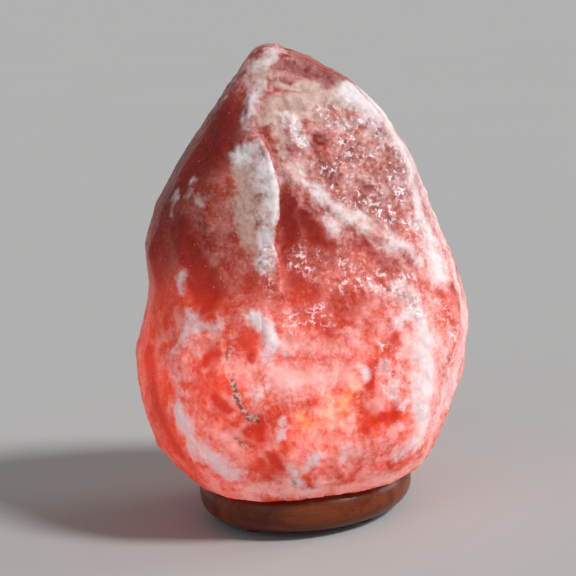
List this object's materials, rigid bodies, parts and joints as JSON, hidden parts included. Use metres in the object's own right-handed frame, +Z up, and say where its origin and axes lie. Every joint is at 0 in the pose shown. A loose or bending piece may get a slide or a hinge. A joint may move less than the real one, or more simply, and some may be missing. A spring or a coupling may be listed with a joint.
{
  "type": "salt crystal lamp",
  "caption": "Table lamp made from a rough natural salt crystal, bored from below for a screw-in bulb on a pull-out holder, on a round turned wooden base.",
  "frame": {"origin": "on the floor plane, where the axis of the base, the holder and the bulb meets it", "axes": "+Z up, along the axis of the base and the bulb; -Y towards the front of the crystal; +X to the right seen from the front"},
  "size_m": [0.17, 0.1403, 0.24],
  "materials": {
    "salt_crystal": "rough natural halite, translucent orange-red, lit from inside",
    "wood_base": "turned, dark brown satin stain",
    "crystal_screws": "zinc plated",
    "screw_plugs": "nylon",
    "rubber_feet": "moulded, matt",
    "foot_screws": "zinc plated",
    "holder_cap": "moulded phenolic",
    "holder_shell": "moulded phenolic",
    "contact_carrier": "unglazed",
    "screw_shell": "rolled sheet",
    "centre_contact": "sprung sheet",
    "side_contact": "sprung sheet",
    "terminal_screws": "zinc plated",
    "shell_rivets": "turned",
    "spring_clip": "spring steel",
    "bulb_glass": "clear, thin",
    "bulb_cap": "plated sheet",
    "tip_contact": "solder",
    "bulb_insulator": "black glass",
    "bulb_stem": "clear",
    "lead_wires": "plated wire",
    "filament": "coiled wire, glowing",
    "filament_support": "wire"
  },
  "bodies": {
    "crystal_and_base": {"salt_crystal": "salt_crystal", "wood_base": "wood_base", "crystal_screws": "crystal_screws", "screw_plugs": "screw_plugs", "rubber_feet": "rubber_feet", "foot_screws": "foot_screws"},
    "holder": {"holder_cap": "holder_cap", "holder_shell": "holder_shell", "contact_carrier": "contact_carrier", "screw_shell": "screw_shell", "centre_contact": "centre_contact", "side_contact": "side_contact", "terminal_screws": "terminal_screws", "shell_rivets": "shell_rivets", "spring_clip": "spring_clip"},
    "bulb_rise": {"tip_contact": "tip_contact"},
    "bulb": {"bulb_glass": "bulb_glass", "bulb_cap": "bulb_cap", "bulb_insulator": "bulb_insulator", "bulb_stem": "bulb_stem", "lead_wires": "lead_wires", "filament": "filament", "filament_support": "filament_support"}
  },
  "joints": [
    {"name": "holder_pull", "type": "slide", "parent": "crystal_and_base", "child": "holder", "axis": [0, 0, -1], "range_m": [0, 0.09]},
    {"name": "bulb_rise", "type": "slide", "parent": "holder", "child": "bulb_rise", "axis": [0, 0, 1], "range_m": [0, 0.0128]},
    {"name": "bulb_turn", "type": "hinge", "parent": "bulb_rise", "child": "bulb", "pos_m": [0, 0, 0.0313], "axis": [0, 0, 1], "range_deg": [0, 1620]}
  ],
  "couplings": [
    {"joint": "bulb_rise", "follows": "bulb_turn", "m_per_rad": 0.00044914}
  ]
}
